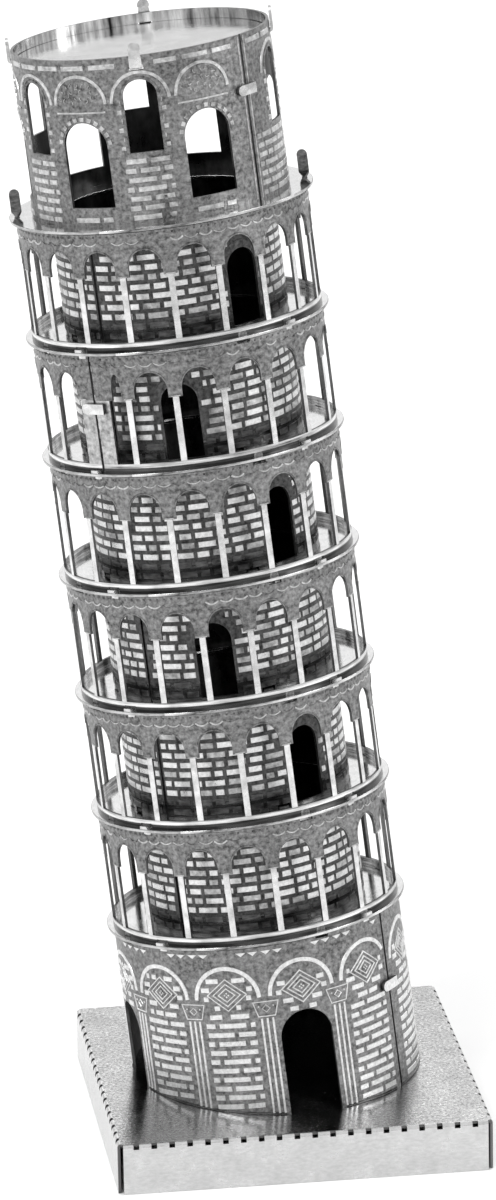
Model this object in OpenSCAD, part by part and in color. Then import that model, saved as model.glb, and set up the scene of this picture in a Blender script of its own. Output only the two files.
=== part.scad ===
// Leaning bell tower, a desk-top sheet metal kit model.
// A square folded base carries a rolled ground wall, six rings of open
// arcades round six brick core walls, and a belfry. Ring plates lie between
// the storeys. Every wall is one rolled sheet with a seam, and its tabs pass
// through slots in the plates and are folded over.
// Units are millimetres. The origin is the middle of the front skirt's foot, on
// the plane that the base stands on. The front is -Y, and angles round the tower
// run from the front towards +X.

/* [Sheet] */
// Thickness of the steel sheet
sheet_t = 0.3; // [0.2:0.05:0.4]
// Play on each side of a tab in its slot
slot_play = 0.1; // [0.05:0.05:0.15]
// Width of a fixing tab
tab_w = 1.1; // [0.8:0.1:1.4]
// Length of a tab's folded end
tab_reach = 1; // [0.7:0.1:1.3]
// Gap left between the edges of a rolled wall
seam_gap = 0.3; // [0.2:0.05:0.5]

/* [Base] */
// Side of the square base
base_w = 40; // [33:1:50]
// Height of the base
base_h = 5.6; // [4:0.1:8]
// Pitch of the slits along a folded edge
fold_pitch = 1.9; // [1.5:0.1:2.5]
// Length of one slit
fold_slit = 0.6; // [0.4:0.1:0.9]
// Depth of a slit into the top and down the skirt
slit_depth = 0.4; // [0.35:0.05:0.6]
// Width of the open corner between two skirts
corner_gap = 0.25; // [0.1:0.05:0.5]

/* [Lean] */
// Lean towards the left side, in degrees
lean_side = 5.7; // [0:0.1:8]
// Lean towards the back, in degrees
lean_back = 5.3; // [0:0.1:8]
// Foot of the tower's axis, to the right of the base's centre
foot_x = -0.3; // [-1:0.1:1]
// Foot of the tower's axis, behind the base's centre
foot_y = 1.1; // [-1:0.1:1.5]

/* [Storeys] */
// Outer radius of the ground wall and the arcades
wall_r = 15.4; // [12.8:0.1:18.5]
// Distance that the floor plates stand out past the walls
ledge = 0.7; // [0.5:0.1:1]
// Clear width of the gallery between an arcade and its core wall
gallery_w = 3.3; // [2.6:0.1:4.2]
// Width of the seat that a core wall has on its floor plate
core_seat = 1.2; // [0.8:0.1:1.5]
// Height of the ground wall on the tower's axis
ground_h = 17.6; // [14.5:0.1:21]
// Height of an arcade and of the core wall behind it
storey_h = 12.64; // [10.5:0.01:15.2]

/* [Ground wall] */
// Width of a ground floor doorway
door_w = 5.7; // [4.7:0.1:6.8]
// Depth of the wall over a doorway
door_drop = 7.8; // [6.5:0.1:9]
// Angle of the first doorway
door_az = 8.8; // [5:0.1:15]
// Angle of the ground wall's seam
ground_seam_az = 52.5; // [45:0.5:60]
// Width of the seam's lock tab
lock_w = 1.1; // [0.8:0.1:1.5]
// Reach of the seam's lock tab past the seam
lock_reach = 1.5; // [1:0.1:2]

/* [Arcades] */
// Number of arches in a ring
arches = 19; // [16:1:22]
// Width of a column
column_w = 0.6; // [0.5:0.05:0.8]
// Width of a capital
capital_w = 1.45; // [1.2:0.05:1.8]
// Height of a capital, below the spring of the arches
capital_h = 1; // [0.7:0.1:1.3]
// Height of the rail at the foot of the columns
rail_h = 0.9; // [0.7:0.05:1.2]
// Depth of the band over the arches
frieze_h = 2.1; // [1.6:0.1:2.5]
// Width of the post on each side of an arcade's seam
seam_post_w = 1.7; // [1.3:0.1:2]
// Distance from the place of the missing column to the seam
seam_shift = 0.95; // [0:0.05:1]
// Height of the upright tongues on the terrace
tongue_h = 3.3; // [2.5:0.1:4]
// Angle of the first terrace tongue
tongue_az = -3; // [-8:0.5:2]

/* [Core walls] */
// Width of a doorway in a core wall
core_door_w = 3.9; // [3.3:0.1:4.7]
// Height of a doorway in a core wall
core_door_h = 8.3; // [7:0.1:9.5]
// Height of a doorway's sill
core_sill = 0.3; // [0:0.1:0.6]

/* [Belfry] */
// Distance that the belfry stands outside the core walls
belfry_step = 1.8; // [1.5:0.1:2]
// Height of the belfry wall
belfry_h = 17.5; // [16:0.1:21]
// Width of a high window
high_w = 3.6; // [2.9:0.1:4.2]
// Height of a high window's sill
high_sill = 7.4; // [6.5:0.1:8.5]
// Height of a high window's head
high_head = 15; // [13:0.1:15.1]
// Width of a low window
low_w = 5.2; // [4.4:0.1:5.6]
// Height of a low window's sill
low_sill = 1.9; // [1.5:0.1:3]
// Height of a low window's head
low_head = 10.9; // [9.5:0.1:12.5]
// Angle of the first high window
belfry_az = -8.3; // [-12:0.1:-5]
// Angle from one belfry bay to the next
belfry_bay = 28.2; // [27.6:0.1:28.8]
// Angle of the blank strip between the last bay and the seam
seam_strip = 9.7; // [7:0.1:11]
// Depth of the roof disc below the rim
roof_drop = 1.1; // [0.8:0.1:1.5]
// Width of a roof tab
roof_tab_w = 1.3; // [1:0.1:1.5]
// Height of a roof tab outside the wall
roof_tab_h = 2.8; // [2.4:0.1:3.2]

/* [Hidden] */
$fn = 96;

// rises from one floor plate's underside to the next one's
pitch_h = storey_h + sheet_t;
core_r = wall_r - sheet_t - gallery_w;
belfry_r = core_r + belfry_step;
hole_r = core_r - sheet_t - core_seat;
plate_r = wall_r + ledge;
// opening between two columns, rounded down to a twentieth of a millimetre
opening_w = floor(20 * (2 * PI * wall_r / arches - column_w)) / 20;
spring_z = storey_h - frieze_h - (opening_w + column_w - capital_w) / 2;
terrace_z = ground_h + 6 * pitch_h;
// centre of the base, behind the middle of the front skirt's foot
centre_y = (base_w - sheet_t) / 2;
// a tab's stem runs through the plate and into the fold beyond it
stem_h = 1.5 * sheet_t;
// how far a fold bulges past the face of its wall
bend_bulge = sheet_t / 6;
roof_z = belfry_h - roof_drop - sheet_t;
// doorway of each core wall, from the first storey up
core_door_az = [150, 33, -8.7, 37, -9.5, 34];
// angle of one column of each arcade, from the first storey up
arcade_turn = [3.9, -3.1, 7.2, 0.6, -9.5, -5.1];
// number of columns from there to the one that the seam splits
seam_column = [8, 8, 8, 8, -2, 8];
arch_step = 360 / arches;
core_seam_az = -47.5;
// tabs come in fours, and these are the angles of the first of each four
ground_foot_az = 68;
arcade_top_az = 43;
arcade_foot_az = 20;
core_top_az = 17;
core_foot_az = 6;
belfry_foot_az = 25;
belfry_seam_az = belfry_az + 1.5 * belfry_bay + seam_strip;

// ---------- shared shapes ----------

// everything is drawn round the base's centre
module centred() {
    translate([0, centre_y, 0]) children();
}

// the tower's own frame: z runs up its leaning axis from the base's top
module lean() {
    translate([foot_x, foot_y, base_h])
        rotate([-lean_back, -lean_side, 0])
            children();
}

module four(az) {
    for (k = [0:3]) rotate([0, 0, az + 90 * k]) children();
}

// a block that faces the front, from radius r0 out to r1
module block(w, r0, r1, z0, z1) {
    translate([-w / 2, -r1, z0]) cube([w, r1 - r0, z1 - z0]);
}

module ring(r, z0, z1) {
    difference() {
        translate([0, 0, z0]) cylinder(r = r, h = z1 - z0);
        translate([0, 0, z0 - 1]) cylinder(r = r - sheet_t, h = z1 - z0 + 2);
    }
}

// cuts a flat outline through a wall at the front, of outer radius r
module through(r) {
    rotate([90, 0, 0]) translate([0, 0, r - 3 * sheet_t])
        linear_extrude(6 * sheet_t) children();
}

// outline of a round-headed opening
module arch_outline(w, z0, head) {
    translate([-w / 2, z0]) square([w, head - w / 2 - z0]);
    translate([0, head - w / 2]) circle(d = w);
}

module arch_cut(w, z0, head, r) {
    through(r) arch_outline(w, z0, head);
}

// a rolled wall with tab stems at its top and foot, before its openings
module rolled(r, h, top_az, top_w, foot_az) {
    intersection() {
        ring(r, -stem_h, h + stem_h);
        union() {
            cylinder(r = r + 1, h = h);
            if (top_w > 0)
                four(top_az) block(top_w, r - 1, r + 1, h - 1, h + stem_h);
            four(foot_az) block(tab_w, r - 1, r + 1, -stem_h, 1);
        }
    }
}

module seam(r, az, z0, z1) {
    rotate([0, 0, az]) block(seam_gap, r - 1, r + 1, z0, z1);
}

// room in a wall's edge for the folded tab of the wall beyond the plate
module tab_notch(r, az, z0, z1) {
    four(az) block(tab_w + 4 * slot_play, r - 1, r + 1, z0, z1);
}

// slots in a plate for tab stems at radius r
module slots(r, az, w) {
    four(az)
        block(w + 2 * slot_play, r - sheet_t - slot_play, r + slot_play, -1, sheet_t + 1);
}

// folded end of a tab, outwards or inwards, with its underside at z0
module fold_out(r, az, reach, z0) {
    four(az) block(tab_w, r - sheet_t - bend_bulge, r + reach, z0, z0 + sheet_t);
}

module fold_in(r, az, reach, z0) {
    four(az)
        block(tab_w, r - sheet_t - reach, r + bend_bulge, z0, z0 + sheet_t);
}

// ---------- pieces in the tower's frame ----------

// plate i, counted from 1, with the slots of the walls above and below it
module plate(i) {
    z = ground_h + (i - 1) * pitch_h;
    centred() lean() translate([0, 0, z]) difference() {
        cylinder(r = plate_r, h = sheet_t);
        translate([0, 0, -1]) cylinder(r = hole_r, h = sheet_t + 2);
        if (i < 7) {
            slots(wall_r, arcade_top_az, tab_w);
            slots(wall_r, arcade_foot_az, tab_w);
            slots(core_r, core_foot_az, tab_w);
        } else {
            slots(wall_r, tongue_az, tab_w);
            slots(belfry_r, belfry_foot_az, tab_w);
        }
        if (i > 1) slots(core_r, core_top_az, tab_w);
    }
}

// one opening between two columns, with its capitals and round head
module arch(w) {
    low = spring_z - capital_h;
    through(wall_r) {
        translate([-w / 2, rail_h]) square([w, low - rail_h]);
        arch_outline(w - capital_w + column_w, rail_h, storey_h - frieze_h);
    }
}

// the arches of a ring, from a column at the front. The seam and its two posts
// take the place of one column, and the arches beside them are narrower.
module arch_row(split) {
    for (k = [0:arches - 1])
        if (k != (split + arches) % arches && k != (split + arches - 1) % arches)
            rotate([0, 0, (k + 0.5) * arch_step]) arch(opening_w);
    for (side = [-1, 1]) {
        lost = seam_post_w + (seam_gap - column_w) / 2 + side * seam_shift;
        rotate([0, 0, (split + side / 2) * arch_step + side * mm_to_deg(lost / 2)])
            arch(opening_w - lost);
    }
}

// angle of the seam, from the column at the front
function arcade_seam(split) = split * arch_step + mm_to_deg(seam_shift);

// angle of a length along the arcades' outer face
function mm_to_deg(length) = length * 180 / (PI * wall_r);

// upright tongue, turned a quarter so that it points outwards
module tongue() {
    r = wall_r - sheet_t / 2;
    half = tab_w / 2;
    top = tongue_h - half;
    translate([-sheet_t / 2, -r - half, storey_h + sheet_t]) {
        cube([sheet_t, tab_w, top]);
        translate([0, half, top]) rotate([0, 90, 0]) cylinder(d = tab_w, h = sheet_t);
    }
}

module arcade(i) {
    top_az = i < 6 ? arcade_top_az : tongue_az;
    z = ground_h + sheet_t + (i - 1) * pitch_h;
    centred() lean() translate([0, 0, z]) {
        difference() {
            rolled(wall_r, storey_h, top_az, tab_w, arcade_foot_az);
            rotate([0, 0, arcade_turn[i - 1]]) {
                arch_row(seam_column[i - 1]);
                seam(wall_r, arcade_seam(seam_column[i - 1]), -1, storey_h + 1);
            }
            tab_notch(wall_r, arcade_top_az, -1, sheet_t + 2 * slot_play);
            if (i < 6)
                tab_notch(wall_r, arcade_foot_az, storey_h - sheet_t - 2 * slot_play,
                    storey_h + 1);
        }
        rotate([0, 0, arcade_turn[i - 1]])
            lock_tab(wall_r, arcade_seam(seam_column[i - 1]), storey_h / 2);
        fold_in(wall_r, arcade_foot_az, tab_reach, -2 * sheet_t);
        if (i < 6)
            fold_out(wall_r, arcade_top_az, ledge - slot_play, storey_h + sheet_t);
        else
            four(tongue_az) tongue();
    }
}

module core_wall(i) {
    z = ground_h + sheet_t + (i - 1) * pitch_h;
    centred() lean() translate([0, 0, z]) {
        difference() {
            rolled(core_r, storey_h, core_top_az, tab_w, core_foot_az);
            rotate([0, 0, core_door_az[i - 1]])
                arch_cut(core_door_w, core_sill, core_door_h, core_r);
            seam(core_r, core_seam_az, -1, storey_h + 1);
            if (i > 1) tab_notch(core_r, core_top_az, -1, sheet_t + 2 * slot_play);
            if (i < 6)
                tab_notch(core_r, core_foot_az, storey_h - sheet_t - 2 * slot_play,
                    storey_h + 1);
        }
        fold_in(core_r, core_foot_az, tab_reach, -2 * sheet_t);
        fold_in(core_r, core_top_az, tab_reach, storey_h + sheet_t);
    }
}

// tab that crosses a wall's seam on the outside and locks it
module lock_tab(r, az, z) {
    rotate([0, 0, az]) {
        translate([seam_gap / 2, -r - slot_play - sheet_t, z])
            cube([lock_w, 1.5 * sheet_t + slot_play, lock_w]);
        translate([lock_w / 2 - lock_reach, -r - slot_play - sheet_t, z])
            cube([lock_reach + seam_gap, sheet_t, lock_w]);
        translate([lock_w / 2 - lock_reach, -r - slot_play, z + lock_w / 2])
            rotate([90, 0, 0]) cylinder(d = lock_w, h = sheet_t);
    }
}

// ---------- the pieces ----------

module base() {
    color("gainsboro") centred() difference() {
        union() {
            translate([-base_w / 2, -base_w / 2, base_h - sheet_t])
                cube([base_w, base_w, sheet_t]);
            for (k = [0:3]) rotate([0, 0, 90 * k])
                translate([-base_w / 2 + sheet_t + corner_gap, -base_w / 2, 0])
                    cube([base_w - 2 * sheet_t - 2 * corner_gap, sheet_t, base_h]);
        }
        fold_slits();
        // slots for the ground wall's tabs, which lean as the wall does
        intersection() {
            lean() four(ground_foot_az)
                block(tab_w + 2 * slot_play, wall_r - sheet_t - slot_play,
                    wall_r + slot_play, -4, 4);
            translate([-base_w / 2, -base_w / 2, base_h - 2 * sheet_t])
                cube([base_w, base_w, 3 * sheet_t]);
        }
    }
}

module fold_slits() {
    n = floor((base_w - 2 * fold_pitch) / fold_pitch);
    for (k = [0:3]) rotate([0, 0, 90 * k])
        for (i = [0:n])
            translate([(i - n / 2) * fold_pitch - fold_slit / 2,
                -base_w / 2 - 1, base_h - slit_depth])
                cube([fold_slit, 1 + slit_depth, 1 + slit_depth]);
}

module ground_wall() {
    color("silver") centred() {
        difference() {
            lean() difference() {
                intersection() {
                    ring(wall_r, -6, ground_h + stem_h);
                    union() {
                        translate([0, 0, -6]) cylinder(r = wall_r + 1, h = ground_h + 6);
                        four(arcade_top_az)
                            block(tab_w, wall_r - 1, wall_r + 1, ground_h - 1,
                                ground_h + stem_h);
                    }
                }
                four(door_az) arch_cut(door_w, -7, ground_h - door_drop, wall_r);
                seam(wall_r, ground_seam_az, -7, ground_h + 1);
                tab_notch(wall_r, arcade_foot_az, ground_h - sheet_t - 2 * slot_play,
                    ground_h + 1);
            }
            foot_trim();
        }
        lean() {
            fold_out(wall_r, arcade_top_az, ledge - slot_play, ground_h + sheet_t);
            lock_tab(wall_r, ground_seam_az, ground_h / 2);
        }
        ground_feet();
    }
}

// all that lies below the base's top, but for the tab stems
module foot_trim() {
    difference() {
        translate([-base_w, -base_w, base_h - 20]) cube([2 * base_w, 2 * base_w, 20]);
        intersection() {
            lean() four(ground_foot_az) block(tab_w, wall_r - 1, wall_r + 1, -6, 6);
            translate([-base_w, -base_w, base_h - 1.5 * sheet_t])
                cube([2 * base_w, 2 * base_w, 2 * sheet_t]);
        }
    }
}

// folded ends under the base's top, square to the base
module ground_feet() {
    translate([foot_x, foot_y, base_h - 2 * sheet_t]) four(ground_foot_az)
        block(tab_w, wall_r - sheet_t - tab_reach, wall_r + sheet_t / 3, 0, sheet_t);
}

module floor_plate_1() { color("white") plate(1); }
module floor_plate_2() { color("white") plate(2); }
module floor_plate_3() { color("white") plate(3); }
module floor_plate_4() { color("white") plate(4); }
module floor_plate_5() { color("white") plate(5); }
module floor_plate_6() { color("white") plate(6); }
module terrace_plate() { color("white") plate(7); }
module arcade_1() { color("lightgray") arcade(1); }
module arcade_2() { color("lightgray") arcade(2); }
module arcade_3() { color("lightgray") arcade(3); }
module arcade_4() { color("lightgray") arcade(4); }
module arcade_5() { color("lightgray") arcade(5); }
module arcade_6() { color("lightgray") arcade(6); }
module core_wall_1() { color("darkgray") core_wall(1); }
module core_wall_2() { color("darkgray") core_wall(2); }
module core_wall_3() { color("darkgray") core_wall(3); }
module core_wall_4() { color("darkgray") core_wall(4); }
module core_wall_5() { color("darkgray") core_wall(5); }
module core_wall_6() { color("darkgray") core_wall(6); }

module belfry_wall() {
    color("silver") centred() lean() translate([0, 0, terrace_z + sheet_t]) {
        difference() {
            rolled(belfry_r, belfry_h, 0, 0, belfry_foot_az);
            // twelve bays, and a blank strip on each side of the seam
            for (k = [-10:1]) rotate([0, 0, belfry_az + belfry_bay * k])
                if (k % 2 == 0)
                    arch_cut(high_w, high_sill, high_head, belfry_r);
                else
                    arch_cut(low_w, low_sill, low_head, belfry_r);
            seam(belfry_r, belfry_seam_az, -1, belfry_h + 1);
            four(belfry_az)
                block(roof_tab_w + 2 * slot_play, belfry_r - 1, belfry_r + 1,
                    roof_z - slot_play, roof_z + sheet_t + slot_play);
        }
        fold_in(belfry_r, belfry_foot_az, tab_reach, -2 * sheet_t);
        lock_tab(belfry_r, belfry_seam_az, belfry_h * 0.64);
    }
}

// full disc whose four tabs pass through the wall and turn up outside it
module roof_disc() {
    out_r = belfry_r + slot_play;
    color("white") centred() lean() translate([0, 0, terrace_z + sheet_t + roof_z]) {
        cylinder(r = belfry_r - sheet_t - slot_play, h = sheet_t);
        four(belfry_az) {
            block(roof_tab_w, belfry_r - 3, out_r + sheet_t, 0, sheet_t);
            block(roof_tab_w, out_r, out_r + sheet_t, 0, roof_tab_h - roof_tab_w / 2);
            translate([0, -out_r, roof_tab_h - roof_tab_w / 2])
                rotate([90, 0, 0]) cylinder(d = roof_tab_w, h = sheet_t);
        }
    }
}

base();
ground_wall();
floor_plate_1();
floor_plate_2();
floor_plate_3();
floor_plate_4();
floor_plate_5();
floor_plate_6();
terrace_plate();
arcade_1();
arcade_2();
arcade_3();
arcade_4();
arcade_5();
arcade_6();
core_wall_1();
core_wall_2();
core_wall_3();
core_wall_4();
core_wall_5();
core_wall_6();
belfry_wall();
roof_disc();
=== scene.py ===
"""Leaning bell tower, a desk-top sheet metal kit model: its looks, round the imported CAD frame."""

import bisect
import math
import random

import bmesh
import bpy
from mathutils import Matrix, Vector


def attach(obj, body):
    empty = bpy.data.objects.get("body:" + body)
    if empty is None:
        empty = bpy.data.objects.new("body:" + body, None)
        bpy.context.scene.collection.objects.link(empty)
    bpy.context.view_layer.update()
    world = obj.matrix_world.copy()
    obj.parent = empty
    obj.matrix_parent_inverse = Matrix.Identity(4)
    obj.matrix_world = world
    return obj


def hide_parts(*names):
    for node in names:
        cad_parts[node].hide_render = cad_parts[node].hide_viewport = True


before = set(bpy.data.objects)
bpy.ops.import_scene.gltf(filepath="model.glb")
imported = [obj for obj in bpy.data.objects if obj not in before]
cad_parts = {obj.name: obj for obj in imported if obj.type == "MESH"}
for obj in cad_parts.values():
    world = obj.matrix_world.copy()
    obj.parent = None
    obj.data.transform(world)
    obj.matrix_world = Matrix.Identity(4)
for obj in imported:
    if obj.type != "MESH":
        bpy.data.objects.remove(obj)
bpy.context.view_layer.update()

# ---- sizes, in millimetres
MM = 0.001
SHEET = 0.3
BASE_W, BASE_H = 40.0, 5.6
CENTRE = Vector((0, (BASE_W - SHEET) / 2, 0))  # the base's centre, behind the front skirt's foot
FOOT = Vector((-0.3, 1.1, BASE_H)) + CENTRE
LEAN = Matrix.Rotation(math.radians(-5.7), 3, "Y") @ Matrix.Rotation(math.radians(-5.3), 3, "X")
WALL_R, LEDGE, CORE_R, HOLE_R, BELFRY_R = 15.4, 0.7, 11.8, 10.3, 13.6
PLATE_R = WALL_R + LEDGE
GROUND_H, STOREY_H = 17.6, 12.64
PITCH = STOREY_H + SHEET
TERRACE = GROUND_H + 6 * PITCH
SEAM = 0.3
TAB_W = 1.1
PLAY, NOTCH_PLAY = 0.1, 0.2  # round a tab in its slot, and round one in the notch it crosses
FOLD_RISE = 1.5 * SHEET  # from a wall's edge to the middle of a tab folded over the plate beyond
REACH_IN, REACH_OUT = 1.0, 0.72  # how far a folded tab reaches from the wall's middle
BEND_ANGLES = (0.0, 0.4, 0.8, 1.2, math.pi / 2)
FRIEZE_GAP = 0.75  # height lost between a capital and the foot of its arch

ARCHES, COLUMN_W, CAPITAL_W, RAIL_H, FRIEZE_H = 19, 0.6, 1.45, 0.9, 2.1
STEP = 360 / ARCHES
OPENING_W = math.floor(20 * (2 * math.pi * WALL_R / ARCHES - COLUMN_W)) / 20
ARCH_HALF = (OPENING_W + COLUMN_W - CAPITAL_W) / 2
SPRING = STOREY_H - FRIEZE_H - ARCH_HALF
CAPITAL_Z = SPRING - 1.0
ARCADE_TURN = [3.9, -3.1, 7.2, 0.6, -9.5, -5.1]
SEAM_COLUMN = [8, 8, 8, 8, -2, 8]
POST_W, SEAM_SHIFT = 1.7, 0.95

CORE_DOOR_AZ = [150, 33, -8.7, 37, -9.5, 34]
CORE_DOOR_W, CORE_DOOR_H, CORE_SILL, CORE_SEAM_AZ = 3.9, 8.3, 0.3, -47.5

DOOR_AZ, DOOR_W, DOOR_DROP, GROUND_SEAM_AZ = 8.8, 5.7, 7.8, 52.5
BAY = 30
BELFRY_H, BELFRY_AZ, BELFRY_BAY = 17.5, -8.3, 28.2
HIGH_W, HIGH_SILL, HIGH_HEAD = 3.6, 7.4, 15.0
LOW_W, LOW_SILL, LOW_HEAD = 5.2, 1.9, 10.9
BELFRY_SEAM_AZ = BELFRY_AZ + 1.5 * BELFRY_BAY + 9.7
ROOF_Z, ROOF_TAB_W = BELFRY_H - 1.1 - SHEET, 1.3
ARCADE_TOP_AZ, ARCADE_FOOT_AZ = 43, 20
CORE_TOP_AZ, CORE_FOOT_AZ, BELFRY_FOOT_AZ, TONGUE_AZ = 17, 6, 25, -3


def arc_deg(length, r):
    """Angle of a length along a wall's face."""
    return math.degrees(length / r)


def per_degree(r):
    """Length of one degree of a wall's face."""
    return math.radians(1) * r


def past(az, start):
    """The same direction, counted on from a sheet's starting edge."""
    return start + (az - start) % 360


def seam_edges(az, r):
    """Where a wall's sheet starts and ends, on the two sides of its open seam."""
    gap = arc_deg(SEAM / 2, r)
    return az + gap, az + 360 - gap


def as_function(x):
    """A number as a function of the angle; a function stays as it is."""
    return x if callable(x) else lambda u: x


def sideways(az):
    """The level direction along a wall's face."""
    return Vector((math.cos(math.radians(az)), math.sin(math.radians(az)), 0))


def cyl(az, r, z):
    """A point of the tower's own frame, from the front towards +X."""
    a = math.radians(az)
    return Vector((r * math.sin(a), -r * math.cos(a), z))


def in_tower(p):
    return (FOOT + LEAN @ p) * MM


# ---- mesh building
class Build:
    """Gathers closed solids of one piece, with a map whose unit is a millimetre."""

    def __init__(self, steel, place=in_tower):
        self.steel, self.place, self.points, self.faces = steel, place, [], []

    def point(self, p):
        self.points.append(self.place(p))
        return len(self.points) - 1

    def face(self, corners, uvs, steel=None):
        """One face; steel is its material where it isn't the piece's main one."""
        self.faces.append((corners, uvs, steel or self.steel))

    def piece(self, name, slot, replaces=(), smooth=35, bevel=0):
        """Makes the object, which rides on the only body; slot is not used."""
        mesh = bpy.data.meshes.new(name)
        mesh.from_pydata(self.points, [], [f[0] for f in self.faces])
        layer = mesh.uv_layers.new(name="sheet")
        index = {steel: k for k, steel in enumerate(dict.fromkeys(f[2] for f in self.faces))}
        for poly, (_, uvs, steel) in zip(mesh.polygons, self.faces):
            poly.material_index = index[steel]
            for loop, uv in zip(poly.loop_indices, uvs):
                layer.uv[loop].vector = uv
        for steel in index:
            mesh.materials.append(steel)
        bm = bmesh.new()
        bm.from_mesh(mesh)
        bmesh.ops.recalc_face_normals(bm, faces=bm.faces)
        bm.to_mesh(mesh)
        bm.free()
        mesh.shade_smooth()
        mesh.set_sharp_from_angle(angle=math.radians(smooth))
        obj = bpy.data.objects.new(name, mesh)
        bpy.context.scene.collection.objects.link(obj)
        if bevel:
            mod = obj.modifiers.new("edges", "BEVEL")
            mod.width, mod.segments, mod.limit_method = bevel * MM, 2, "ANGLE"
            mod.angle_limit = math.radians(50)
            mod.harden_normals = True
        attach(obj, "root")
        if replaces:
            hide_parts(*replaces)
        return obj


class Hole:
    """An opening between two angles of a rolled sheet, with a foot and a head that follow the angle."""

    def __init__(self, a, b, lo, hi, samples=()):
        self.a, self.b, self.samples = a, b, list(samples)
        self.lo, self.hi = as_function(lo), as_function(hi)


def sheet(build, start, end, low, high, place, holes=(), cuts=(), outside=None, inside=None, rim=None,
          step=2.5, radius=WALL_R, closed=False):
    """A rolled or flat ring of sheet from one angle to another, less its holes.

    place puts an angle, a height and a face (0 outer, 1 inner) in space. cuts are heights where the material
    may change, and outside and inside give it there. rim is the material of the cut edges.
    """
    tiny, near_edge = 1e-4, 0.25
    low = as_function(low)
    lines = {round(start, 5), round(end, 5)}
    n = math.ceil((end - start) / step)
    lines |= {round(start + (end - start) * i / n, 5) for i in range(n + 1)}
    edges = set()
    for h in holes:
        edges |= {round(h.a, 5), round(h.b, 5), *(round(s, 5) for s in h.samples)}
    lines = {u for u in lines if all(abs(u - e) > near_edge for e in edges)
             or u in (round(start, 5), round(end, 5))}
    lines = sorted(u for u in lines | edges if start - tiny <= u <= end + tiny)
    cells, on_line = [], [set() for _ in lines]
    for j in range(len(lines) - 1):
        u0, u1 = lines[j], lines[j + 1]
        um = (u0 + u1) / 2
        here = sorted((h for h in holes if h.a < um < h.b), key=lambda h: h.lo(um))
        spans, at0, at1 = [], low(u0), low(u1)
        for h in here:
            spans.append((at0, h.lo(u0), at1, h.lo(u1)))
            at0, at1 = h.hi(u0), h.hi(u1)
        spans.append((at0, high, at1, high))
        for a0, b0, a1, b1 in spans:
            if b0 - a0 < tiny and b1 - a1 < tiny:
                continue
            marks = [c for c in cuts if max(a0, a1) + 10 * tiny < c < min(b0, b1) - 10 * tiny]
            for c in [*marks, None]:
                t0, t1 = (c, c) if c is not None else (b0, b1)
                cells.append((j, a0, t0, a1, t1))
                on_line[j] |= {round(a0, 4), round(t0, 4)}
                on_line[j + 1] |= {round(a1, 4), round(t1, 4)}
                a0, a1 = t0, t1
    if closed:
        both = on_line[0] | on_line[-1]
        on_line[0] = on_line[-1] = both
    order = [sorted(s) for s in on_line]
    index = {}

    def vert(j, z, layer):
        key = (0 if closed and j == len(lines) - 1 else j, round(z, 4), layer)
        if key not in index:
            index[key] = build.point(place(lines[j], z, layer))
        return index[key]

    def along(j, a, b):
        s = order[j]
        i, k = bisect.bisect_left(s, round(a, 4)), bisect.bisect_right(s, round(b, 4))
        return [(j, z) for z in s[i:k]]

    used, outer = set(), []
    for j, a0, b0, a1, b1 in cells:
        ring = [*reversed(along(j, a0, b0)), *along(j + 1, a1, b1)]
        keys = []
        for p in ring:
            if not keys or p != keys[-1]:
                keys.append(p)
        ids = [vert(*p, 0) for p in keys]
        if len(set(ids)) < 3:
            continue
        mid = (lines[j] + lines[j + 1]) / 2, (a0 + b0 + a1 + b1) / 4
        front = outside(*mid) if outside else build.steel
        outer.append((keys, front, inside(*mid) if inside else front))
        for p, q in zip(ids, [*ids[1:], ids[0]]):
            used.add((p, q))
    mm = per_degree(radius)
    for keys, front, back in outer:
        uvs = [(lines[j] * mm, z) for j, z in keys]
        build.face([vert(*p, 0) for p in keys], uvs, front)
        build.face([vert(*p, 1) for p in reversed(keys)], list(reversed(uvs)), back)
        for p, q in zip(keys, [*keys[1:], keys[0]]):
            a, b = vert(*p, 0), vert(*q, 0)
            if (b, a) in used:
                continue
            u0, u1 = (lines[p[0]] * mm, p[1]), (lines[q[0]] * mm, q[1])
            build.face([b, a, vert(*p, 1), vert(*q, 1)],
                       [u1, u0, (u0[0] + SHEET, u0[1] + SHEET), (u1[0] + SHEET, u1[1] + SHEET)], rim)


def rolled(r, z=0.0):
    """Places a wall's outer and inner face."""
    return lambda u, v, layer: cyl(u, r - SHEET * layer, z + v)


def flat(z):
    """Places a plate's top and underside; the second number is the radius."""
    return lambda u, v, layer: cyl(u, v, z + SHEET * (1 - layer))


def arch_holes(az, w, sill, head, r):
    """A round-headed opening, as a hole with close samples over its arch."""
    half = w / 2
    spring = head - half
    angles = [az + arc_deg(half * math.sin(t * math.pi / 24), r) for t in range(-12, 13)]

    def top(u):
        x = min(half, abs(math.radians(u - az) * r))
        return spring + math.sqrt(max(0.0, half * half - x * x))

    return [Hole(angles[0], angles[-1], sill, top, angles)]


def arcade_holes(az, w):
    """One opening between two columns: its shaft is wider than its head, under two capitals."""
    r, outer = WALL_R, w / 2
    half = outer - (CAPITAL_W - COLUMN_W) / 2
    rise = STOREY_H - FRIEZE_H - CAPITAL_Z - FRIEZE_GAP
    angles = [az + arc_deg(half * math.sin(t * math.pi / 20), r) for t in range(-10, 11)]

    def top(u):
        x = min(half, abs(math.radians(u - az) * r))
        return STOREY_H - FRIEZE_H - rise + rise * math.sqrt(max(0.0, 1 - (x / half) ** 2))

    lip = arc_deg(outer, r)
    return [Hole(az - lip, angles[0], RAIL_H, CAPITAL_Z), Hole(angles[0], angles[-1], RAIL_H, top, angles),
            Hole(angles[-1], az + lip, RAIL_H, CAPITAL_Z)]


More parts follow.
